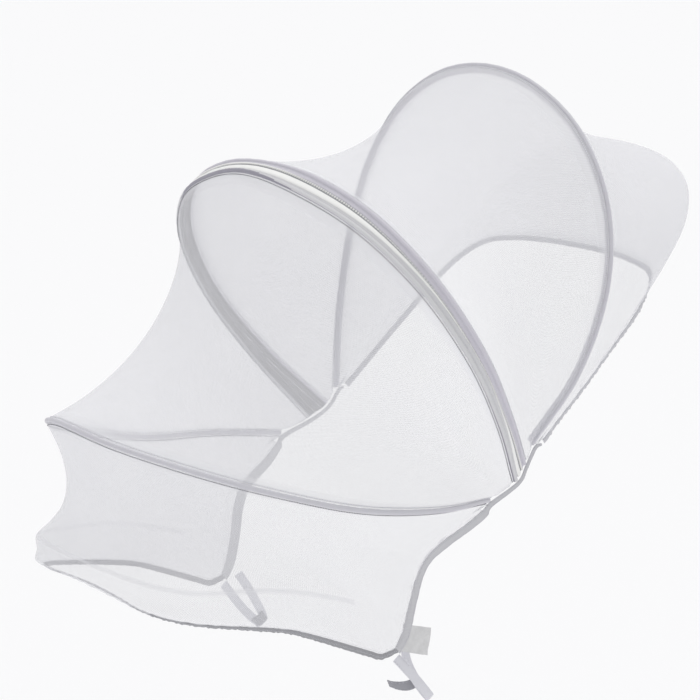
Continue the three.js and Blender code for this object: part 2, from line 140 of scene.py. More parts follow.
def nettingMaterial(name, light, dark, pitch, cover, doubled):
    # Polyester warp-knit netting: matt white threads round open holes, so what is behind shows
    # through as if through a light mist. The real holes are 1.2 mm apart; they are drawn
    # coarser to show as a faint grain.
    # cover: least and most of it, in a hole and on a thread. doubled: what a second layer adds.
    material, tree, shader = startMaterial(name, {
        "Roughness": 0.75, "Specular IOR Level": 0.25, "IOR": polyesterIor})
    uv = addNode(tree, "ShaderNodeUVMap", {"uv_map": "cloth"}, {})
    axes = addNode(tree, "ShaderNodeSeparateXYZ", {}, {0: uv.outputs[0]})
    lines = []
    for operation in ("ADD", "SUBTRACT"):
        slant = addNode(tree, "ShaderNodeMath", {"operation": operation},
                        {0: axes.outputs[0], 1: axes.outputs[1]})
        line = wave(tree, slant.outputs[0], 2 * pitch)
        lines.append(addNode(tree, "ShaderNodeMath", {"operation": "ABSOLUTE"}, {0: line}).outputs[0])
    hole = addNode(tree, "ShaderNodeMath", {"operation": "MINIMUM"}, {0: lines[0], 1: lines[1]})
    thread = addNode(tree, "ShaderNodeMapRange", {},
                     {0: hole.outputs[0], 1: 0.0, 2: 0.75, 3: cover[1], 4: cover[0]})
    # the cloth is double where it is turned under at a seam
    turned = addNode(tree, "ShaderNodeAttribute", {"attribute_name": "turnedUnder"}, {})
    covered = addNode(tree, "ShaderNodeMath", {"operation": "MULTIPLY_ADD", "use_clamp": True},
                      {0: turned.outputs["Fac"], 1: doubled, 2: thread.outputs[0]})
    # large faint patches, as in a cloth that has been folded
    noise = addNode(tree, "ShaderNodeTexNoise", {},
                    {"Vector": uv.outputs[0], "Scale": 0.012, "Detail": 2.0, "Roughness": 0.5})
    tint = addNode(tree, "ShaderNodeMix", {"data_type": "RGBA"},
                   {0: noise.outputs[0], 6: colour(dark), 7: colour(light)})
    tree.links.new(covered.outputs[0], shader.inputs["Alpha"])
    tree.links.new(tint.outputs[2], shader.inputs["Base Color"])
    return material


def mouldedMaterial(name, light, dark, grain, roughness, metallic=0.0):
    # smooth moulded, spun or cast parts, with a faint grain in colour and gloss
    material, tree, shader = startMaterial(name, {"Metallic": metallic})
    spot = addNode(tree, "ShaderNodeTexCoord", {}, {})
    noise = addNode(tree, "ShaderNodeTexNoise", {},
                    {"Vector": spot.outputs["Object"], "Scale": 1000 / grain, "Detail": 3.0})
    tint = addNode(tree, "ShaderNodeMix", {"data_type": "RGBA"},
                   {0: noise.outputs[0], 6: colour(dark), 7: colour(light)})
    gloss = addNode(tree, "ShaderNodeMapRange", {},
                    {0: noise.outputs[0], 1: 0.2, 2: 0.8, 3: roughness * 0.85, 4: roughness * 1.15})
    tree.links.new(tint.outputs[2], shader.inputs["Base Color"])
    tree.links.new(gloss.outputs[0], shader.inputs["Roughness"])
    return material


finishes = {
    # the netting itself, almost white and open
    "netting": nettingMaterial("polyester warp-knit netting", "#F1F1F4", "#EAEAEE",
                               2.4, (0.24, 0.38), 0.22),
    # bias-cut polyester taffeta, smooth and slightly silky, stretched over the wires
    "casing": wovenMaterial("polyester taffeta casing", "#D9D8DE", "#C2C1C9", (1.3, 1.3), 0.10, 0.55, 0.1),
    # the same cloth on the foot side of the zip, a neutral grey
    "casingGrey": wovenMaterial("grey polyester taffeta", "#DEDEE0", "#C9C9CD",
                                (1.3, 1.3), 0.10, 0.55, 0.1),
    # painted shade: the front casing's inner side, turned from the light against the netting, in a darker
    # purple-grey
    "casingPaintedShade": wovenMaterial("polyester taffeta in painted shade", "#A5A3AE", "#8D8A98",
                                  (1.3, 1.3), 0.10, 0.6, 0.1),
    # and the same cloth on the head side of the zip, with a touch of lavender
    "shaded": wovenMaterial("lavender polyester taffeta", "#DAD8E0", "#C4C1CC",
                            (1.3, 1.3), 0.10, 0.55, 0.1),
    # woven zip tape: fine ribs along it, matt grey, darkened from the tape's own pale cream as painted
    # shade round the coil
    "zipTape": wovenMaterial("woven polyester zip tape", "#B4B4B9", "#9C9CA2", (2.2, 1.1), 0.12, 0.7, 0.05),
    # painted shade: the inner side of the zip band, and the casings' faces beside it, turned from the
    # light, in a plain darker grey
    "lining": wovenMaterial("grey painted shade on the inner side of the zip band", "#ABABAD", "#969698",
                            (2.2, 1.1), 0.12, 0.7, 0.05),
    # the zip's cover strip, a smooth white ribbon that catches the light
    "zipRidge": wovenMaterial("white satin ribbon", "#FDFDFC", "#F2F2F0", (2.6, 0.9), 0.06, 0.4, 0.05, 0.5),
    # nylon coil: glossy white turns
    "coil": mouldedMaterial("nylon zip coil", "#FDFDFC", "#F0F0EE", 6, 0.3),
    # painted zinc casting: light grey, half gloss
    "slider": mouldedMaterial("painted zinc casting", "#C4C6CB", "#AEB1B7", 3, 0.35, 0.6),
    # grosgrain binding: ribs across a grey tape
    "binding": wovenMaterial("polyester grosgrain binding", "#D6D6D9", "#BBBBC0",
                             (1.8, 40), 0.16, 0.75, 0.05),
    # knitted elastic drawn up in small gathers, greyer than the same tape at the rear: painted shade along
    # the lower edge
    "elastic": wovenMaterial("knitted elastic tape", "#B9B9BC", "#88888E", (2.0, 1.6), 0.25, 0.8, 0.1),
    # the rear elastic, the same tape in its own white, without painted shade
    "elasticPale": wovenMaterial("white knitted elastic tape", "#E0E0E3", "#B8B8BE",
                                 (2.0, 1.6), 0.25, 0.8, 0.1),
    # polypropylene webbing: two rows of slanting ribs, white
    "webbing": wovenMaterial("polypropylene webbing", "#ECECF1", "#D0D0D8", (1.6, 2.1), 0.22, 0.55, 0.03),
    # hook side of hook-and-loop tape: grey, matt and prickly
    "hooks": wovenMaterial("nylon hook tape", "#BABAC0", "#8C8C94", (1.5, 1.5), 0.5, 0.85, 0.0, 0.5),
    # label satin, left bare: white with a soft shine, and grey patches of painted shade that stand for its
    # crumples
    "satin": wovenMaterial("polyester label satin", "#F2F2F2", "#B6B6B8", (1.2, 4.0), 0.05, 0.4, 0.1, 0.5,
                           patchesAndPaintedShade=0.8),
    # spun polyester sewing thread
    "thread": mouldedMaterial("spun polyester thread", "#DADAE0", "#C2C2CA", 2, 0.6),
    # painted shade: dark grey thread where the netting joins its channels, standing for the shaded crease
    # along the casing's inner edge
    "greyThread": mouldedMaterial("dark thread, painted shade along the seams", "#6C6C76", "#56565F", 2, 0.6),
}
print("materials made")

# Sizes in millimetres, laid out from a point midway between the feet of the bows.
# A bow's rows are reach along its slope, half its width there, and rise square to the slope.

shape = {
    "origin": (134, 0, 443),            # where the top of the net rests, the frame's origin
    "bows": {
        "bow_rear": {"foot": (48, -2), "pitch": 100.6, "rows": (
            (0, 229, 0), (98, 276, 18), (210, 294, 27), (307, 274, 24), (393, 211, 14),
            (448, 112, 4), (466, 0, 0))},
        "bow_zip_rear": {"foot": (34, -25), "pitch": 57.8, "rows": (
            (0, 231, 0), (98, 287, -13), (207, 319, -19), (309, 295, -16), (387, 218, -8),
            (428, 112, -2), (439, 0, 0))},
        "bow_zip_front": {"foot": (14, -42), "pitch": 57.3, "rows": (
            (0, 241, 0), (104, 292, -6), (210, 316, -9), (310, 293, -8), (387, 219, -4),
            (433, 108, -1), (451, 0, 0))},
        "bow_foot": {"foot": (-31, -61), "pitch": 0, "rows": (
            (0, 246, 0), (96, 277, 5), (194, 256, 14), (289, 203, 37), (378, 142, 67),
            (442, 80, 93), (468, 0, 109))},
    },
    # near halves of the long edges, from the feet of the bows to the middle: x, y, z
    "lowerFold": (
        (-42, 246, -71), (-77, 236, -97), (-99, 232, -109), (-112, 229, -122), (-122, 226, -137),
        (-131, 221, -171), (-136, 219, -193), (-141, 217, -214), (-146, 216, -228),
        (-152, 214, -239), (-163, 213, -241), (-178, 212, -236), (-226, 208, -217),
        (-288, 205, -195), (-351, 201, -183), (-406, 194, -175), (-449, 173, -167),
        (-470, 130, -161), (-475, 65, -158), (-476, 0, -157)),
    "headRim": (
        (58, 231, 1), (155, 240, 106), (257, 228, 203), (322, 206, 268), (352, 170, 308),
        (364, 118, 333), (368, 56, 343), (369, 0, 345)),
    "rearEdge": (
        (64, 230, 2), (155, 227, 88), (238, 214, 168), (271, 187, 195), (284, 130, 206),
        (289, 65, 210), (290, 0, 211)),
    # step along the fold and its share of the near half, then the wall over it and the tuck
    "foldSteps": ((0, 0), (6, 0.255), (10, 0.345), (22, 1)),
    "footEnd": {
        "step": (0, 7.5, 10.5, 13.6, 17, 22),
        "wall": (3, 30, 50, 46, 34, 28),
        "out": (0, 3, 5, 3, 0, -1),
        "tuck": (0, 0, 3, 7, 13, 17)},
    "middleOfFoot": (-250, 0, -180),
    "hemDrop": 4,
    "cornerStep": 8,                    # where the side binding meets the elastic
    "wallFrom": 11,                     # where the end wall begins
    "wire": 2.9,                        # radius of the channel sewn round a wire
    "footWire": 3.1,
    "seamGap": 0.35,
    "bandGap": 0.5,
    "lean": 25,                         # how far panels turn out of the plane between two bows
    # past the feet of the bows, where the cloth ends and the side bindings start
    "clothPastFeet": (1.9, 0, -1.4),
    "outOfFeet": (2.6, 0, -2.0),
    "outOfRearFoot": (3.4, 0, -3.2),
    "beforeElastic": (-2.5, 0, -3.5),
    "widthsAtFeet": (3.5, 5.5, 5.5, 6, 7.5, 9, 10.5),   # of the side binding, from its upper tip
}
nearHalfSteps = 22


def place(points):
    # millimetres in the layout to metres in the frame
    return (np.asarray(points, dtype=float) - shape["origin"]) / 1000


def unit(vectors):
    return vectors / np.linalg.norm(vectors, axis=-1, keepdims=True)


def lengths(path):
    return np.concatenate([[0], np.cumsum(np.linalg.norm(np.diff(path, axis=0), axis=1))])


def curveThrough(points, perSpan=60):
    # a smooth curve that passes every point and doesn't swing out between near ones
    points = np.asarray(points, dtype=float)
    framed = np.vstack([2 * points[0] - points[1], points, 2 * points[-1] - points[-2]])
    part = np.linspace(0, 1, perSpan, endpoint=False)[:, None]
    spans = []
    for a, b, c, d in zip(framed, framed[1:], framed[2:], framed[3:]):
        ab, bc, cd = (np.linalg.norm(q - p) ** 0.5 for p, q in ((a, b), (b, c), (c, d)))
        leave = ((b - a) / ab - (c - a) / (ab + bc) + (c - b) / bc) * bc
        arrive = ((c - b) / bc - (d - b) / (bc + cd) + (d - c) / cd) * bc
        spans.append(b + leave * part + (3 * (c - b) - 2 * leave - arrive) * part ** 2
                     + (2 * (b - c) + leave + arrive) * part ** 3)
    return np.vstack(spans + [points[-1:]])


def sampled(at, run, values):
    # values known at the lengths in run, read off at others
    return np.stack([np.interp(at, run, values[:, k]) for k in range(3)], axis=1)


def spaced(curve, shares):
    along = lengths(curve)
    return sampled(np.asarray(shares) * along[-1], along, curve)


def mirroredPath(nearHalf, stepTable=((0, 0), (nearHalfSteps, 1)), fine=1):
    near = np.array([(x, -y, z) for x, y, z in nearHalf], dtype=float)
    curve = curveThrough(np.vstack([near, near[-2::-1] * (1, -1, 1)]))
    steps = np.arange(nearHalfSteps * fine + 1) / fine
    half = spaced(curve, np.interp(steps, *zip(*stepTable)) / 2)
    half[-1, 1] = 0
    return np.vstack([half, half[-2::-1] * (1, -1, 1)])


def bowPath(name, fine=1):
    bow = shape["bows"][name]
    pitch = math.radians(bow["pitch"])
    return mirroredPath([
        (bow["foot"][0] - reach * math.cos(pitch) + rise * math.sin(pitch), half,
         bow["foot"][1] + reach * math.sin(pitch) + rise * math.cos(pitch))
        for reach, half, rise in bow["rows"]], fine=fine)


def tangents(path):
    return unit(np.vstack([path[1:], path[-1:]]) - np.vstack([path[:1], path[:-1]]))


def squared(path, sides):
    along = tangents(path)
    return unit(sides - along * (sides * along).sum(axis=1, keepdims=True))


def towards(path, other, lean=0):
    return squared(path, other - path + np.array((lean, 0, 0)))


def finer(points, times):
    # cubic steps between points, along the first axis
    framed = np.concatenate([2 * points[:1] - points[1:2], points, 2 * points[-1:] - points[-2:-1]])
    a, b, c, d = framed[:-3], framed[1:-2], framed[2:-1], framed[3:]
    between = [b + 0.5 * s * ((c - a) + s * ((2 * a - 5 * b + 4 * c - d) + s * (3 * b - a - 3 * c + d)))
               for s in np.arange(times) / times]
    filled = np.stack(between, axis=1).reshape(-1, *points.shape[1:])
    return np.concatenate([filled, points[-1:]])


def gridNormals(grid):
    across = np.gradient(grid, axis=0)
    along = np.gradient(grid, axis=1)
    return unit(np.cross(along, across))


def ripple(at, waves):
    # an uneven wave that is the same in every run: wavelength, height and start of each part
    return sum(height * np.sin(2 * math.pi * at / length + start) for length, height, start in waves)


# Meshes from points


def makePiece(name, points, faces, uvs, finish, slot, nodes=(), sharp=35):
    mesh = bpy.data.meshes.new(name)
    mesh.from_pydata(place(points).tolist(), [], [list(map(int, face)) for face in faces])
    mesh.uv_layers.new(name="cloth").data.foreach_set("uv", np.asarray(uvs, dtype=np.float32).ravel())
    mesh.polygons.foreach_set("use_smooth", [True] * len(mesh.polygons))
    mesh.set_sharp_from_angle(angle=math.radians(sharp))
    mesh.materials.append(finishes[finish])
    piece = bpy.data.objects.new(name, mesh)
    scene.collection.objects.link(piece)
    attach(piece, "root")
    if nodes:
        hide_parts(*nodes)
    return piece


def tubeParts(rings):
    # points, faces and UVs of a closed tube through rings of points
    rings = np.asarray(rings)
    count, size = rings.shape[:2]
    along = lengths(rings.mean(axis=1))
    widest = rings[count // 2]
    around = lengths(np.vstack([widest, widest[:1]]))
    faces, uvs = [], []
    for r in range(count - 1):
        for k in range(size):
            a, b = r * size + k, r * size + (k + 1) % size
            faces.append((a, b, b + size, a + size))
            uvs += [(along[r], around[k]), (along[r], around[k + 1]),
                    (along[r + 1], around[k + 1]), (along[r + 1], around[k])]
    first, last = list(range(size))[::-1], list(range((count - 1) * size, count * size))
    faces += [first, last]
    uvs += [(along[0], around[k]) for k in first] + [(along[-1], around[k]) for k in range(size)]
    return rings.reshape(-1, 3), faces, uvs


def sweptRings(path, sides, section):
    # section: one (side, across) outline, or one for every point of the path
    section = np.asarray(section, dtype=float)
    if section.ndim == 2:
        section = np.repeat(section[None], len(path), axis=0)
    square = squared(path, sides)
    across = np.cross(tangents(path), square)
    return path[:, None] + section[:, :, :1] * square[:, None] + section[:, :, 1:] * across[:, None]


def bandSection(start, end, thickness, rounding=3):
    # a flat tape with rounded edges
    half = thickness / 2
    turns = [math.radians(turn) for turn in np.linspace(-90, 90, rounding + 1)]
    outer = [(end - half + half * math.cos(turn), half * math.sin(turn)) for turn in turns]
    inner = [(start + half - half * math.cos(turn), -half * math.sin(turn)) for turn in turns]
    return outer + inner


def sheetParts(grid, thickness):
    # the two sides and the rim of a thin sheet, with UVs as long as the cloth
    rows, columns = grid.shape[:2]
    normals = gridNormals(grid)
    u = np.stack([lengths(row) - lengths(row)[columns // 2] for row in grid])
    v = np.stack([lengths(grid[:, i]) for i in range(columns)], axis=1)
    points = np.concatenate([(grid + side * normals * thickness / 2).reshape(-1, 3) for side in (1, -1)])
    flat = np.concatenate([np.stack([u, v], axis=2).reshape(-1, 2)] * 2)
    below = rows * columns
    a = (np.arange(rows - 1)[:, None] * columns + np.arange(columns - 1)).ravel()
    faces = [*zip(a, a + 1, a + 1 + columns, a + columns),
             *zip(below + a, below + a + columns, below + a + 1 + columns, below + a + 1)]
    edge = [*range(columns - 1, 0, -1), *range(0, below - columns, columns),
            *range(below - columns, below - 1), *range(below - 1, columns - 1, -columns)]
    for p, q in zip(edge, edge[1:] + edge[:1]):
        faces.append((p, q, below + q, below + p))
    uvs = flat[np.array(faces).ravel()]
    return points, faces, uvs


def mirrored(parts):
    # the far side's copy, with its faces turned to point outwards again
    points, faces, uvs = parts
    uvs = np.asarray(uvs)
    turned, start = [], 0
    for face in faces:
        turned.append(uvs[start:start + len(face)][::-1])
        start += len(face)
    return np.asarray(points) * (1, -1, 1), [face[::-1] for face in faces], np.concatenate(turned)


def repeated(template, templateFaces, places, along, side, out):
    # copies of a small shape, joined in one mesh, each with its own three directions
    template = np.asarray(template, dtype=float)
    axes = np.stack([along, side, out], axis=1)
    points = places[:, None] + np.einsum("vk,nkc->nvc", template, axes)
    size = len(template)
    faces = [tuple(n * size + k for k in face) for n in range(len(places)) for face in templateFaces]
    corner = np.array([k for face in templateFaces for k in face])
    uvs = np.tile(template[corner][:, :2], (len(places), 1))
    return points.reshape(-1, 3), faces, uvs


def roundBar(length, radius, sides=5, lift=0.0):
    # a stitch or a turn of the coil: a short round bar with pointed ends, a little arched
    rows = [(-0.5, 0), (-0.34, 0.8), (0, 1), (0.34, 0.8), (0.5, 0)]
    points, faces = [(rows[0][0] * length, 0, 0)], []
    for share, size in rows[1:-1]:
        for k in range(sides):
            turn = 2 * math.pi * k / sides
            points.append((share * length, radius * size * math.cos(turn),
                           radius * size * math.sin(turn) + lift * size))
    points.append((rows[-1][0] * length, 0, 0))
    for k in range(sides):
        following = (k + 1) % sides
        faces.append((0, 1 + following, 1 + k))
        for ring in (0, 1):
            low = 1 + ring * sides
            faces.append((low + k, low + following, low + sides + following, low + sides + k))
        faces.append((1 + 2 * sides + k, 1 + 2 * sides + following, len(points) - 1))
    return points, faces


seam = {
    "stitch": 3.0,
    "pitch": 4.2,
    "thread": 0.34,                     # radius
    "arch": 0.12,
    "netPitch": 3.2,                    # in the rows that hold the netting
    "netThread": 0.46,
}
seamParts = {}                          # stitches by kind of seam, joined at the end


def sewn(group, path, out, pitch=seam["pitch"], lean=0, thread=seam["thread"]):
    # a row of stitches on a path; lean turns every other stitch for a zigzag
    run = lengths(path)
    count = max(2, int(run[-1] / pitch))
    at = (np.arange(count) + 0.5) / count * run[-1]
    facing = unit(sampled(at, run, out))
    along = sampled(at, run, tangents(path))
    along = unit(along - facing * (along * facing).sum(axis=1, keepdims=True))
    side = np.cross(facing, along)
    if lean:
        turn = np.where(np.arange(count) % 2, 1, -1)[:, None] * math.radians(lean)
        along = along * np.cos(turn) + side * np.sin(turn)
        side = np.cross(facing, along)
    points, faces = roundBar(seam["stitch"], thread, lift=seam["arch"])
    stitches = repeated(points, faces, sampled(at, run, path), along, side, facing)
    seamParts.setdefault(group, []).append(stitches)


def joinedParts(parts):
    points, faces, uvs, start = [], [], [], 0
    for somePoints, someFaces, someUvs in parts:
        points.append(somePoints)
        faces += [tuple(start + k for k in face) for face in someFaces]
        uvs.append(someUvs)
        start += len(somePoints)
    return np.concatenate(points), faces, np.concatenate(uvs)


# Bows: wires in sewn channels, each with its flat tape

casing = {
    "fine": 12,                         # steps for each of the solid's
    "tape": {"bow_rear": 8, "bow_zip_rear": 5.5, "bow_zip_front": 5.5, "bow_foot": 0},
    "finish": {"bow_rear": "casing", "bow_zip_rear": "shaded", "bow_zip_front": "casingGrey",
               "bow_foot": "casing"},
    "tapeThickness": 1.4,
    "stitchIn": 1.1,                    # from the channel to the stitches on the tape
    "edgeRound": 0.4,
    "corners": 14,
    # the bow whose inner side gets painted shade, widest just past the top, on the far half
    "shadedBow": "bow_zip_front",       # turned from the light, it shows its inner side
    # faces round a section, counted from the tape: those with painted shade, from the first up to the last,
    # which changes along the bow, and those given the darker grey of the zip band's inner side, also
    # painted shade
    "shadeFrom": 3,
    "shadeAlong": (0.40, 0.50, 0.62, 0.72),
    "shadeTo": (6, 10, 10, 2),
    "shadePaintedFaces": {"bow_zip_front": (17, 18, 0, 1, 2), "bow_zip_rear": (10, 11, 12, 13, 14)},
    "pucker": ((9.5, 0.10, 0.3), (6.1, 0.07, 1.9), (31.0, 0.08, 0.8)),
    "edgeWave": ((13.0, 0.22, 0.5), (7.3, 0.14, 2.2), (47.0, 0.18, 1.1)),
}
bows = {name: bowPath(name) for name in shape["bows"]}
fineBows = {name: bowPath(name, casing["fine"]) for name in shape["bows"]}
bowSides = {
    "bow_rear": squared(fineBows["bow_rear"], fineBows["bow_rear"].mean(axis=0) - fineBows["bow_rear"]),
    "bow_zip_rear": towards(fineBows["bow_zip_rear"], fineBows["bow_zip_front"]),
    "bow_zip_front": towards(fineBows["bow_zip_front"], fineBows["bow_zip_rear"]),
    "bow_foot": squared(fineBows["bow_foot"], fineBows["bow_foot"].mean(axis=0) - fineBows["bow_foot"]),
}


def casingSections(name):
    run = lengths(fineBows[name])
    radius = shape["footWire"] if name == "bow_foot" else shape["wire"]
    tape, corners = casing["tape"][name], casing["corners"]
    half = casing["tapeThickness"] / 2
    opening = math.asin(half / radius) if tape else math.pi / corners
    turns = np.linspace(opening, 2 * math.pi - opening, corners)
    swell = radius + ripple(run, casing["pucker"])[:, None]
    outline = np.stack([swell * np.cos(turns), swell * np.sin(turns)], axis=2)
    if not tape:
        return outline
    # reach, height and share of the edge's wave, round the tape from its middle
    middle, corner, end = radius + tape * 0.5, radius + tape - casing["edgeRound"], radius + tape
    flat = [(middle, -half, 0.5), (corner, -half, 1), (end, 0, 1), (corner, half, 1), (middle, half, 0.5)]
    shift = ripple(run, casing["edgeWave"])
    edge = np.stack([np.stack([np.full_like(run, u) + 0.5 * share * shift, v + share * shift], axis=1)
                     for u, v, share in flat], axis=1)
    return np.concatenate([outline, edge], axis=1)


def shadeCasing(piece, name):
    # painted shade: darker faces on the front casing's inner side, and grey faces beside the zip tape on
    # both casings
    extras = ("casingPaintedShade", "lining") if name == casing["shadedBow"] else ("lining",)
    for finish in extras:
        piece.data.materials.append(finishes[finish])
    around = len(casingSections(name)[0])
    for face in piece.data.polygons[:-2]:
        k = face.index % around
        if k in casing["shadePaintedFaces"][name]:
            face.material_index = len(extras)
        elif name == casing["shadedBow"] and k >= casing["shadeFrom"]:
            share = face.index // around / len(fineBows[name])
            face.material_index = int(k <= np.interp(share, casing["shadeAlong"], casing["shadeTo"]))


def sewCasing(name):
    path = fineBows[name]
    square = squared(path, bowSides[name])
    across = np.cross(tangents(path), square)
    row = path + square * (shape["wire"] + casing["stitchIn"])
    for face in (1, -1):
        sewn("casings", row + across * face * casing["tapeThickness"] / 2, across * face)


def makeCasing(name):
    finish = casing["finish"][name]
    slot = "casing_shaded" if finish == "shaded" else "casing"
    parts = tubeParts(sweptRings(fineBows[name], bowSides[name], casingSections(name)))
    piece = makePiece(name + "_casing", *parts, finish, slot, [name], sharp=50)
    if name in casing["shadePaintedFaces"]:
        shadeCasing(piece, name)
    if casing["tape"][name]:
        sewCasing(name)


for name in bows:
    makeCasing(name)
print("bow casings made")

# Zip: tape between the two casings, its cover ribbon and the coil; its slider at the far foot is made below

zipStrip = {
    "start": shape["wire"] + casing["tape"]["bow_zip_rear"] + shape["seamGap"],     # from each wire
    "thickness": 1.2,
    "rows": 7,
    "stitchIn": 1.4,
    "ribbon": (-0.72, 0.05),            # shares of the tape's width from its middle
    "ribbonHeight": 1.5,
    "ribbonSunk": 0.05,
    "ribbonWave": ((23.0, 0.08, 0.4), (61.0, 0.12, 1.3)),
    "coil": 0.29,                       # a share as well
    "toothPitch": 4.4,                  # the real coil turns every 1.3 mm; drawn coarser to show
    "toothLength": 3.9,
    "toothRadius": 1.35,
    "toothNeeds": 12,                   # on a narrower tape the teeth are shorter
}


def zipGuides():
    # the tape's edges and, along its middle, the directions across it and outwards
    front, rear = fineBows["bow_zip_front"], fineBows["bow_zip_rear"]
    first = front + towards(front, rear) * zipStrip["start"]
    last = rear + towards(rear, front) * zipStrip["start"]
    middle = (first + last) / 2
    side = towards(middle, last)
    return first, last, middle, side, -np.cross(tangents(middle), side)


zipFirst, zipLast, zipMiddle, zipSide, zipOut = zipGuides()
zipSpan = zipLast - zipFirst
zipWidth = np.linalg.norm(zipSpan, axis=1)
zipRun = lengths(zipMiddle)
zipTop = zipStrip["thickness"] / 2


def makeZipTape():
    grid = zipFirst + zipSpan * np.linspace(0, 1, zipStrip["rows"])[:, None, None]
    tape = makePiece("zip_tape_cloth", *sheetParts(grid, zipStrip["thickness"]),
                     "lining", "zip_tape", ["zip_tape"], sharp=60)
    tape.data.materials.append(finishes["zipTape"])
    # the ribbed tape shows outwards and the plain grey inwards, both darkened as painted shade
    cells = (grid.shape[0] - 1) * (grid.shape[1] - 1)
    outerFirst = (gridNormals(grid)[0] * zipOut).sum() > 0
    for face in tape.data.polygons[:cells] if outerFirst else tape.data.polygons[cells:2 * cells]:
        face.material_index = 1
    sewn("zip", zipLast - unit(zipSpan) * zipStrip["stitchIn"] + zipOut * zipTop, zipOut)


def makeRibbon():
    # a low dome over the foot side of the tape, a little flat on top
    low, high = zipStrip["ribbon"]
    centre, reach = (low + high) / 2, (high - low) / 2
    turns = np.radians(np.linspace(0, 180, 9))
    height = zipStrip["ribbonHeight"] + ripple(zipRun, zipStrip["ribbonWave"])
    dome = np.stack([(centre + reach * np.cos(turns)) * zipWidth[:, None],
                     -(zipTop - zipStrip["ribbonSunk"] + height[:, None] * np.sin(turns) ** 0.7)],
                    axis=2)[:, ::-1]
    makePiece("zip_ribbon", *tubeParts(sweptRings(zipMiddle, zipSide, dome)),
              "zipRidge", "zip_coil", ["zip_coil"], sharp=70)


def makeCoil():
    count = int(zipRun[-1] / zipStrip["toothPitch"])
    at = (np.arange(count) + 0.5) / count * zipRun[-1]
    line = zipMiddle + zipSide * (zipStrip["coil"] * zipWidth)[:, None]
    line = line + zipOut * (zipTop + zipStrip["toothRadius"])
    across, facing = unit(sampled(at, zipRun, zipSide)), unit(sampled(at, zipRun, zipOut))
    along = sampled(at, zipRun, tangents(zipMiddle))
    narrow = np.interp(at, zipRun, np.minimum(1, zipWidth / zipStrip["toothNeeds"]))[:, None]
    points, faces = roundBar(zipStrip["toothLength"], zipStrip["toothRadius"], 6)
    teeth = repeated(points, faces, sampled(at, zipRun, line), across * narrow, -along, facing)
    makePiece("zip_teeth", *teeth, "coil", "zip_coil", ["zip_coil"], sharp=80)


makeZipTape()
makeRibbon()
makeCoil()
print("zip made")

# Panels of net, drawn taut between the bows and the long edges

panel = {
    "thickness": 0.5,
    "fineAlong": 5,                     # steps for each of the solid's
    "fineAcross": 5,
    "rounds": 900,                      # of drawing it taut
    "seamIn": 2.2,                      # from the edge to the stitches
    "crease": 1.0,
    "calm": (0.08, 0.03),               # shares across and along it, beside the seams, with no troughs
    # how far gathers run up from the elastic, then their waves
    "gathers": {
        "net_foot": (26, ((23.0, 0.55, 0.2), (14.5, 0.4, 1.7), (37.0, 0.4, 0.9))),
        "net_rear": (30, ((25.0, 0.6, 0.6), (16.0, 0.4, 2.1), (41.0, 0.4, 1.4)))},
    # rows from guide to guide, pull along the rows against the pull across, softening of bends
    "drawing": {
        "net_top": ((8,), 2.6, 0), "net_front": ((9,), 1.9, 0),
        "net_foot": ((7, 2, 1), 1.05, 0.35), "net_rear": ((8, 4), 1.4, 0.3)},
}
panelStart = shape["wire"] + shape["seamGap"]
footPanelStart = shape["footWire"] + shape["bandGap"]


def drawnPanel(name, guides, held):
    # a grid from guide to guide, drawn taut; the held points of the guides stay
    rowCounts, pull, soft = panel["drawing"][name]
    grid, guideRows = [guides[0]], []
    for k, count in enumerate(rowCounts):
        grid += [guides[k] + (guides[k + 1] - guides[k]) * j / count for j in range(1, count + 1)]
        guideRows.append(len(grid) - 1)
    grid = np.array(grid)
    grid[2:rowCounts[0] - 1, [0, -1]] += shape["clothPastFeet"]
    fixed = np.zeros(grid.shape[:2], dtype=bool)
    for row, mask in zip(guideRows, held):
        fixed[row] |= mask
    inner = fixed[1:-1, 1:-1, None]
    for _ in range(panel["rounds"]):
        drawn = (grid[:-2, 1:-1] + grid[2:, 1:-1]
                 + pull * (grid[1:-1, :-2] + grid[1:-1, 2:])) / (2 + 2 * pull)
        grid[1:-1, 1:-1] = np.where(inner, grid[1:-1, 1:-1], drawn)
    for j in range(1, len(grid) - 1):
        middle = (grid[j - 1, 1:-1] + grid[j + 1, 1:-1]) / 2
        grid[j, 1:-1] += (middle - grid[j, 1:-1]) * soft
    return grid


def betweenBows(first, second, secondGap):
    first, second = bows[first], bows[second]
    return [first + towards(first, second, -shape["lean"]) * panelStart,
            second + towards(second, first, shape["lean"]) * secondGap]


def footGuides(fold):
    # from the foot bow over the rim of the end wall to the fold and the tucked hem
    along = tangents(fold)
    steps = np.minimum(np.arange(len(fold)), len(fold) - 1 - np.arange(len(fold)))
    outward = unit((fold - shape["middleOfFoot"]) * (1, 1, 0))
    down = unit(np.cross(outward, along))
    up = unit(np.array((0, 0, 1)) - down)

    def eased(column):
        table = shape["footEnd"]
        at = np.clip(np.searchsorted(table["step"], steps), 1, len(table["step"]) - 1)
        low, high = np.array(table["step"])[at - 1], np.array(table["step"])[at]
        part = (steps - low) / (high - low)
        part = part * part * (3 - 2 * part)
        values = np.array(table[column], dtype=float)
        return (values[at - 1] + (values[at] - values[at - 1]) * part)[:, None]

    wallTop = fold + outward * eased("out") + up * eased("wall")
    hem = fold - outward * eased("tuck") + down * shape["hemDrop"]
    foot = bows["bow_foot"]
    start = foot + towards(foot, wallTop) * footPanelStart
    return [start, wallTop, fold, hem], steps >= shape["wallFrom"]


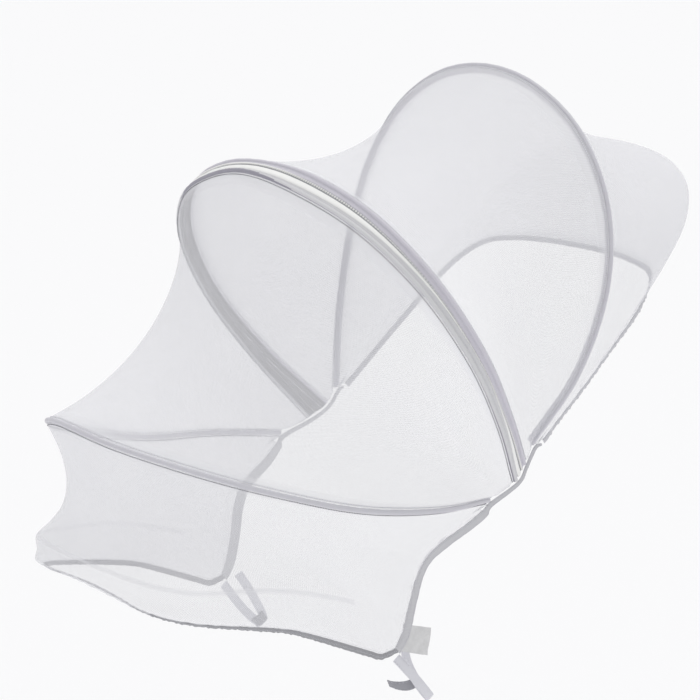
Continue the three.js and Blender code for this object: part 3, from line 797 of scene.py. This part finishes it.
pointsAlong = 2 * nearHalfSteps + 1
always, free = np.ones(pointsAlong, dtype=bool), np.zeros(pointsAlong, dtype=bool)
guidesOfFoot, onWall = footGuides(mirroredPath(shape["lowerFold"], shape["foldSteps"]))
rimPath, rearEdgePath = mirroredPath(shape["headRim"]), mirroredPath(shape["rearEdge"])
rearStart = bows["bow_rear"] + towards(bows["bow_rear"], rimPath, shape["lean"]) * panelStart
grids = {
    "net_top": drawnPanel("net_top", betweenBows("bow_rear", "bow_zip_rear", panelStart), [free]),
    "net_front": drawnPanel("net_front", betweenBows("bow_zip_front", "bow_foot", footPanelStart), [free]),
    "net_foot": drawnPanel("net_foot", guidesOfFoot, [onWall, always, free]),
    "net_rear": drawnPanel("net_rear", [rearStart, rimPath, rearEdgePath], [always, free]),
}

# Soft troughs in each panel: from and to as shares along it and across it, then depth and width
troughs = {
    "net_top": (
        (0.04, 0.45, 0.16, 0.62, 1.6, 9), (0.05, 0.25, 0.20, 0.30, 1.2, 8),
        (0.95, 0.5, 0.83, 0.66, 1.5, 9)),
    "net_front": (
        (0.03, 0.30, 0.14, 0.42, 1.8, 9), (0.02, 0.62, 0.12, 0.80, 1.6, 8),
        (0.30, 0.9, 0.38, 0.62, 1.2, 12), (0.97, 0.35, 0.86, 0.45, 1.7, 9)),
    "net_foot": (
        (0.10, 0.62, 0.20, 0.30, 2.0, 9), (0.16, 0.80, 0.27, 0.45, 2.2, 10),
        (0.22, 0.95, 0.31, 0.55, 1.8, 9), (0.34, 0.70, 0.47, 0.60, 1.4, 12),
        (0.90, 0.62, 0.80, 0.30, 2.0, 9), (0.84, 0.80, 0.73, 0.45, 2.2, 10)),
    "net_rear": (
        (0.05, 0.35, 0.18, 0.40, 1.8, 9), (0.10, 0.70, 0.24, 0.55, 1.6, 9),
        (0.95, 0.35, 0.82, 0.42, 1.8, 9), (0.42, 0.85, 0.48, 0.60, 1.4, 10)),
}


def finePanel(name):
    grid = finer(finer(grids[name], panel["fineAcross"]).swapaxes(0, 1), panel["fineAlong"]).swapaxes(0, 1)
    rows, columns = grid.shape[:2]
    shareAcross, shareAlong = np.meshgrid(np.linspace(0, 1, rows), np.linspace(0, 1, columns),
                                          indexing="ij")
    # troughs fade out before the seams, which stay where they are
    calmAcross, calmAlong = panel["calm"]
    calm = np.clip(np.minimum(shareAcross, 1 - shareAcross) / calmAcross, 0, 1)
    calm *= np.clip(np.minimum(shareAlong, 1 - shareAlong) / calmAlong, 0, 1)
    depth = np.zeros((rows, columns))
    for fromAlong, fromAcross, toAlong, toAcross, deep, wide in troughs[name]:
        start, end = (grid[round(across * (rows - 1)), round(along * (columns - 1))]
                      for along, across in ((fromAlong, fromAcross), (toAlong, toAcross)))
        line = end - start
        part = np.clip(((grid - start) @ line) / (line @ line), 0, 1)
        away = np.linalg.norm(grid - start - part[..., None] * line, axis=2)
        # shallower towards its ends
        depth += deep * np.exp(-(away / wide) ** 2) * np.sin(math.pi * (0.12 + 0.76 * part))
    return grid - gridNormals(grid) * (depth * calm)[..., None]


def gathered(name, grid):
    # small gathers that run up from the elastic and fade out
    spread, waves = panel["gathers"][name]
    run = lengths(grid[-1])
    height = np.linalg.norm(grid - grid[-1:], axis=2)
    size = ripple(run, waves)[None] * np.exp(-(height / spread) ** 2)
    size[:, :1], size[:, -1:] = 0, 0
    return grid + gridNormals(grid) * size[..., None]


def sewSeam(group, row, inner, normals):
    line = row + unit(inner - row) * panel["seamIn"]
    for face in (1, -1):
        sewn(group, line + normals * face * panel["thickness"] / 2, normals * face,
             pitch=seam["netPitch"], thread=seam["netThread"])


def sewPanel(name, grid):
    # dark grey thread, painted shade, where a panel meets the grey casing and the foot bow
    normals = gridNormals(grid)
    sewSeam("seams_painted_shade" if name in ("net_front", "net_foot") else "seams", grid[0], grid[1], normals[0])
    if name in ("net_top", "net_front"):
        sewSeam("seams", grid[-1], grid[-2], normals[-1])


def markSeams(name, piece, rows, columns):
    # 1 where the cloth is turned under and so double
    turned = np.zeros((rows, columns), dtype=np.float32)
    turned[[0, -1]], turned[[1, -2]] = 1, 0.5
    turned[:, [0, -1]] = 1
    if name == "net_foot":
        # creased where it bends over the edge of the end wall
        rim = panel["drawing"][name][0][0] * panel["fineAcross"]
        creased = np.interp(np.arange(columns) / panel["fineAlong"], np.arange(len(onWall)), onWall)
        turned[rim] = creased * panel["crease"]
    values = np.concatenate([turned.ravel()] * 2)
    piece.data.attributes.new("turnedUnder", "FLOAT", "POINT").data.foreach_set("value", values)


def printCut(name, grid):
    # the longest rows and columns and the area, from which cut sizes can be taken
    across, along = np.diff(grid, axis=0), np.diff(grid, axis=1)
    area = np.linalg.norm(np.cross(along[:-1], across[:, :-1]), axis=2).sum()
    row = max(lengths(points)[-1] for points in grid)
    column = max(lengths(points)[-1] for points in grid.swapaxes(0, 1))
    print(name, "longest row", round(row, 1), "longest column", round(column, 1),
          "area", round(area / 1e6, 4))


netPieces = {}
for name in grids:
    grid = finePanel(name)
    if name in panel["gathers"]:
        grid = gathered(name, grid)
    sewPanel(name, grid)
    netPieces[name] = makePiece(name + "_cloth", *sheetParts(grid, panel["thickness"]),
                                "netting", "net", [name], sharp=60)
    markSeams(name, netPieces[name], *grid.shape[:2])
    printCut(name, grid)
print("net panels made")

# Bindings and elastic along the edges

bands = {
    "bindingWidth": 11.5,
    "widerBelow": 2.6,                  # below the bows it is pressed flat and spreads this much
    "elasticWidth": 8,
    "thickness": 1.7,
    "bindingFine": 8,                   # steps for each of the solid's
    "elasticFine": 14,
    "stitchRows": (0.18, 0.86),         # shares of the binding's width
    "zigzag": {"pitch": 2.6, "lean": 42},   # on the elastic
    "seamedEdge": 0.25,                 # share of the waves that stays at the seam
    "bindingWave": ((17.0, 0.16, 0.4), (9.0, 0.10, 1.2), (53.0, 0.25, 2.0)),
    "gathers": ((8.6, 0.50, 0.3), (5.9, 0.32, 1.1), (21.0, 0.35, 0.7)),
    "serration": ((8.6, 0.24, 1.8), (4.7, 0.14, 0.2)),
}


def bandFrames(edge, normals):
    return edge, unit(np.cross(normals, tangents(edge))), normals


def bandParts(edge, side, normals, widths, fine, waves, edgeWaves=()):
    # the band's own parts, then its middle line, directions, waves and widths for the stitches
    edge, side, normals, widths = (finer(values, fine) for values in (edge, side, normals, widths))
    side, normals = unit(side), unit(normals)
    run = lengths(edge)
    lifts = ripple(run, waves)
    shifts = ripple(run, edgeWaves) if edgeWaves else 0 * run
    outlines = []
    for width, lift, shift in zip(widths, lifts, shifts):
        outline = np.array(bandSection(shape["bandGap"], shape["bandGap"] + width, bands["thickness"]))
        part = np.clip((outline[:, 0] - shape["bandGap"]) / width, 0, 1)
        lifted = lift * np.maximum(part, bands["seamedEdge"])
        outlines.append(outline + np.stack([shift * part, lifted], axis=1))
    outlines = np.array(outlines)
    rings = edge[:, None] + outlines[:, :, :1] * side[:, None] + outlines[:, :, 1:] * normals[:, None]
    return tubeParts(rings), edge + side * shape["bandGap"], side, normals, lifts[:, None], widths


bowFeet = np.array([bows[name][0] for name in ("bow_rear", "bow_zip_rear", "bow_zip_front", "bow_foot")])
footEdge = grids["net_foot"][-1]
footNormals = gridNormals(grids["net_foot"])[-1]


def makeSideBindings():
    rearEnd = grids["net_rear"][-1, 0] + shape["beforeElastic"]
    feet = bowFeet + shape["outOfFeet"]
    feet[0] = bowFeet[0] + shape["outOfRearFoot"]
    edge = np.vstack([rearEnd, feet, footEdge])
    near = np.array((0, -1.0, 0))
    normals = np.vstack([np.tile(near, (len(feet) + 2, 1)), unit(footNormals[1:] + near)])
    corner = 1 + len(feet) + shape["cornerStep"]
    widths = np.full(corner + 1, float(bands["bindingWidth"]))
    widths[:len(shape["widthsAtFeet"])] = shape["widthsAtFeet"]
    widths[1 + len(feet):-1] += bands["widerBelow"]
    along = tangents(edge)
    edge, side, normals = (values[:corner + 1].copy() for values in bandFrames(edge, normals))
    edge[-1] -= along[corner] * shape["bandGap"]
    parts, line, side, normals, lift, widths = bandParts(edge, side, normals, widths, bands["bindingFine"],
                                                         bands["bindingWave"])
    for copy, end in ((parts, "near"), (mirrored(parts), "far")):
        makePiece("binding_" + end + "_tape", *copy,
                  "binding", "binding", ["binding_side_" + end], sharp=60)
    for part in bands["stitchRows"]:
        height = bands["thickness"] / 2 + lift * max(bands["seamedEdge"], part)
        row = line + side * (part * widths)[:, None] + normals * height
        sewn("binding", row, normals)
        sewn("binding", row * (1, -1, 1), normals * (1, -1, 1))


def makeElastic(name, edge, edgeNormals, first, last, finish):
    edge, side, normals = (values[first:last + 1] for values in bandFrames(edge, edgeNormals))
    widths = np.full(len(edge), float(bands["elasticWidth"]))
    parts, line, side, normals, lift, widths = bandParts(edge, side, normals, widths, bands["elasticFine"],
                                                         bands["gathers"], bands["serration"])
    makePiece(name + "_tape", *parts, finish, "elastic", [name], sharp=60)
    row = line + side * bands["elasticWidth"] * 0.5 + normals * (bands["thickness"] / 2 + 0.5 * lift)
    sewn("elastic", row, normals, **bands["zigzag"])


makeSideBindings()
# the lower elastic takes the grey finish, painted shade
makeElastic("elastic_lower", footEdge, footNormals, shape["cornerStep"],
            2 * nearHalfSteps - shape["cornerStep"], "elastic")
makeElastic("elastic_rear", grids["net_rear"][-1], gridNormals(grids["net_rear"])[-1], 0,
            2 * nearHalfSteps, "elasticPale")
print("bindings and elastic made")

# Fixing straps: run down the slope, over across it, and y from the middle

strap = {
    "loop": ((0, 0, 211.5), (16, 0, 215), (36, 0, 218), (60, 0, 218), (77, 1, 213), (83, 3, 204),
             (79, 5, 195), (64, 8, 188), (44, 12, 187), (28, 16, 190), (12, 20, 196), (1, 23, 203)),
    "hook": ((66, 9, 184.5), (65, 2, 182.5), (62, -4, 180), (58, -9, 176), (54, -13, 170), (51, -15, 163)),
    "top": (-145, -254),
    "slope": -50,
    "width": 12.5,
    "hookWidth": 15,
    "thickness": 1.5,
    "loopSteps": 150,
    "hookSteps": 40,
    "stitchIn": 1.6,
    "sewnSteps": 18,                    # of the loop, where its top is sewn to the corner
}
slope = math.radians(strap["slope"])
strapDown = np.array((math.cos(slope), 0, math.sin(slope)))
strapAcross = np.array((-strapDown[2], 0, strapDown[0]))


def strapPath(rows, count):
    points = [np.array((strap["top"][0], -y, strap["top"][1])) + strapDown * run + strapAcross * over
              for run, over, y in rows]
    return spaced(curveThrough(points), np.linspace(0, 1, count + 1))


def makeStrap(name, rows, steps, width, side, finish, slot, sewnSteps):
    path = strapPath(rows, steps)
    sides = np.repeat(side[None], len(path), axis=0)
    parts = tubeParts(sweptRings(path, sides, bandSection(-width / 2, width / 2, strap["thickness"])))
    for copy, end in ((parts, "_near"), (mirrored(parts), "_far")):
        makePiece(name + end + "_webbing", *copy, finish, slot, [name + end], sharp=60)
    square = squared(path, sides)
    face = np.cross(tangents(path), square)
    for edge in (-1, 1):
        for out in (-1, 1):
            row = path + square * edge * (width / 2 - strap["stitchIn"])
            row = (row + face * out * strap["thickness"] / 2)[:sewnSteps]
            facing = (face * out)[:sewnSteps]
            sewn("straps", row, facing)
            sewn("straps", row * (1, -1, 1), facing * (1, -1, 1))


makeStrap("strap", strap["loop"], strap["loopSteps"], strap["width"], strapAcross, "webbing", "webbing",
          strap["sewnSteps"])
makeStrap("strap_hook", strap["hook"], strap["hookSteps"], strap["hookWidth"], strapDown, "hooks",
          "hook_and_loop", strap["hookSteps"] + 1)
print("straps made")

# Care label: one piece of bare satin, sewn in beside the lower corner

label = {
    "top": (-135, -212, -212), "topOut": (-91, -211.5, -224),
    "low": (-137, -210, -247), "lowOut": (-94, -210, -260),
    "curl": 3, "steps": 40, "thickness": 0.45,
    "wave": ((38.0, 1.5, 0.6), (17.0, 0.8, 1.4), (9.0, 0.3, 0.2)),
    "waveRun": (44, 20),                # how long the wave runs outwards and down
    "waveSize": 0.7,                    # at its free edge
}


def makeLabel():
    share = np.linspace(0, 1, label["steps"] + 1)
    down, out = np.meshgrid(share, share, indexing="ij")
    top, topOut, low, lowOut = (np.array(label[key], dtype=float)
                                for key in ("top", "topOut", "low", "lowOut"))
    upper = top + (topOut - top) * out[..., None]
    lower = low + (lowOut - low) * out[..., None]
    grid = upper * (1 - down[..., None]) + lower * down[..., None]
    runOut, runDown = label["waveRun"]
    grid[..., 1] += label["curl"] * out ** 2
    grid[..., 1] -= ripple(runOut * out + runDown * down, label["wave"]) * out * label["waveSize"]
    return makePiece("care_label_satin", *sheetParts(grid, label["thickness"]),
                     "satin", "label", ["care_label"])


labelPiece = makeLabel()
print("care label made")

# Slider and its pull, modelled lying at the frame's origin and then carried to the zip

slider = {
    "station": 40.5,                    # steps from the near foot
    "body": {"length": 11, "width": 8, "thick": 2.6, "lift": 4.3, "well": 0.5, "bridge": 1.1,
             "rounding": 0.4},
    "waist": 0.78,                      # width of the body's ends
    "rims": (0.16, 0.10),               # of the well and of the bridge, shares of the body's width
    "bridgeTop": (0.9, 0.6),            # its size against the bridge's root
    "pull": {"length": 24, "width": 5.5, "thick": 1.6, "overBody": 2, "above": 0.65, "rounding": 0.3},
    "pullThickness": 0.8,               # share of its thickness before the dish is cut
    "pullTip": 0.6,
    "pullRim": 0.18,
    "dish": 0.7,
}


def facesWhere(piece, test):
    # selects faces by their own centre and normal, in edit mode
    bpy.ops.object.mode_set(mode="OBJECT")
    for face in piece.data.polygons:
        face.select = bool(test(face.center, face.normal))
    bpy.ops.object.mode_set(mode="EDIT")


def startBlock(name, size, centre):
    bpy.ops.object.select_all(action="DESELECT")
    bpy.ops.mesh.primitive_cube_add(size=1, location=centre)
    piece = bpy.context.object
    piece.name = name
    piece.scale = size
    bpy.ops.object.transform_apply(location=True, rotation=False, scale=True)
    bpy.ops.object.mode_set(mode="EDIT")
    bpy.context.tool_settings.mesh_select_mode = (False, False, True)
    return piece


def endBlock(piece, carry, finish, nodes, bevel):
    bpy.ops.object.mode_set(mode="OBJECT")
    rounding = piece.modifiers.new("rounding", "BEVEL")
    rounding.width = bevel
    rounding.segments = 3
    rounding.limit_method = "ANGLE"
    bpy.ops.object.modifier_apply(modifier=rounding.name)
    bpy.ops.object.shade_smooth_by_angle(angle=math.radians(40))
    piece.data.transform(carry)
    piece.data.materials.clear()
    piece.data.materials.append(finishes[finish])
    piece.select_set(False)
    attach(piece, "root")
    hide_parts(*nodes)


def carriedToZip():
    index = round(slider["station"] / (2 * nearHalfSteps) * (len(zipMiddle) - 1))
    carry = Matrix.Identity(4)
    for k, axis in enumerate((tangents(zipMiddle)[index], zipSide[index], zipOut[index])):
        for row in range(3):
            carry[row][k] = axis[row]
    carry.translation = Vector(place(zipMiddle[index]))
    return carry


def makeSliderBody(size, carry):
    body = startBlock("zip_slider_body", (size["length"], size["width"], size["thick"]),
                      (0, 0, size["lift"]))
    wellRim, bridgeRim = slider["rims"]
    facesWhere(body, lambda centre, normal: abs(normal.x) > 0.9)
    bpy.ops.transform.resize(value=(1, slider["waist"], 1))
    facesWhere(body, lambda centre, normal: normal.z > 0.9)
    bpy.ops.mesh.inset(thickness=size["width"] * wellRim, depth=0)
    bpy.ops.mesh.extrude_region_move(TRANSFORM_OT_translate={"value": (0, 0, -size["well"])})
    bpy.ops.mesh.inset(thickness=size["width"] * bridgeRim, depth=0)
    bpy.ops.mesh.extrude_region_move(TRANSFORM_OT_translate={"value": (0, 0, size["bridge"])})
    bpy.ops.transform.resize(value=(*slider["bridgeTop"], 1))
    endBlock(body, carry, "slider", ["zip_slider"], size["rounding"])


def makePull(size, bodyTop, carry):
    middle = (size["length"] / 2 - size["overBody"], 0, bodyTop + size["above"] + size["thick"] / 2)
    thick = size["thick"] * slider["pullThickness"]
    pull = startBlock("zip_pull_tab", (size["length"], size["width"], thick), middle)
    facesWhere(pull, lambda centre, normal: normal.x < -0.9)
    bpy.ops.transform.resize(value=(1, slider["pullTip"], 1))
    facesWhere(pull, lambda centre, normal: abs(normal.z) > 0.9)
    bpy.ops.mesh.inset(thickness=size["width"] * slider["pullRim"], depth=0, use_individual=True)
    bpy.ops.transform.resize(value=(1, 1, slider["dish"]))
    endBlock(pull, carry, "slider", ["zip_pull"], size["rounding"])


def makeSlider():
    body, pull = ({key: value / 1000 for key, value in slider[part].items()} for part in ("body", "pull"))
    carry = carriedToZip()
    makeSliderBody(body, carry)
    makePull(pull, body["lift"] + body["thick"] / 2, carry)


makeSlider()
print("slider made")

# Stitches, one piece for each kind of seam

seamSlots = {"casings": "casing", "zip": "zip_tape", "seams": "net", "seams_painted_shade": "net",
             "binding": "binding", "elastic": "elastic", "straps": "webbing"}
for group, slot in seamSlots.items():
    # the stitches by the grey casing and the foot bow are dark: painted shade
    finish = "greyThread" if group == "seams_painted_shade" else "thread"
    piece = makePiece("stitches_" + group, *joinedParts(seamParts[group]), finish, slot, sharp=80)
    print("stitches", group, len(piece.data.polygons))

# Floor and light

studio = {
    "floorBelow": 0.42,                 # from the lowest strap
    "strapSteps": 20,                   # fine enough to find that
    "floorSize": 160,
    "paper": "#F8F8F9",
    "ambient": 0.74,                    # light from all round
    "backdrop": 0.95,                   # what stands behind the object, as bright as the floor
    "sun": 0.95,
    "sunFrom": (0.30, 0.15, 0.94),
    "sunAngle": 35,
    "layersSeen": 32,                   # surfaces of net that a look passes through
}


def makeFloor():
    low = min(place(strapPath(strap["loop"], studio["strapSteps"]))[:, 2]) - studio["floorBelow"]
    bpy.ops.mesh.primitive_plane_add(size=studio["floorSize"], location=(0, 0, low))
    floor = bpy.context.object
    floor.name = "floor"
    paper = startMaterial("matt white paper floor", {
        "Base Color": colour(studio["paper"]), "Roughness": 0.9, "Specular IOR Level": 0.1})[0]
    floor.data.materials.append(paper)


def makeWorld():
    world = bpy.data.worlds.new("studio")
    world.use_nodes = True
    tree = world.node_tree
    background = tree.nodes["Background"]
    path = addNode(tree, "ShaderNodeLightPath", {}, {})
    strength = addNode(tree, "ShaderNodeMapRange", {},
                       {0: path.outputs["Is Camera Ray"], 3: studio["ambient"], 4: studio["backdrop"]})
    background.inputs[0].default_value = (1, 1, 1, 1)
    tree.links.new(strength.outputs[0], background.inputs[1])
    scene.world = world


def makeSun():
    lamp = bpy.data.lights.new("sun", "SUN")
    lamp.energy = studio["sun"]
    lamp.angle = math.radians(studio["sunAngle"])
    light = bpy.data.objects.new("sun", lamp)
    light.rotation_euler = Vector(studio["sunFrom"]).to_track_quat("Z", "Y").to_euler()
    scene.collection.objects.link(light)


makeFloor()
makeWorld()
makeSun()
scene.view_settings.view_transform = "Standard"
scene.cycles.transparent_max_bounces = studio["layersSeen"]
print("floor and light set")
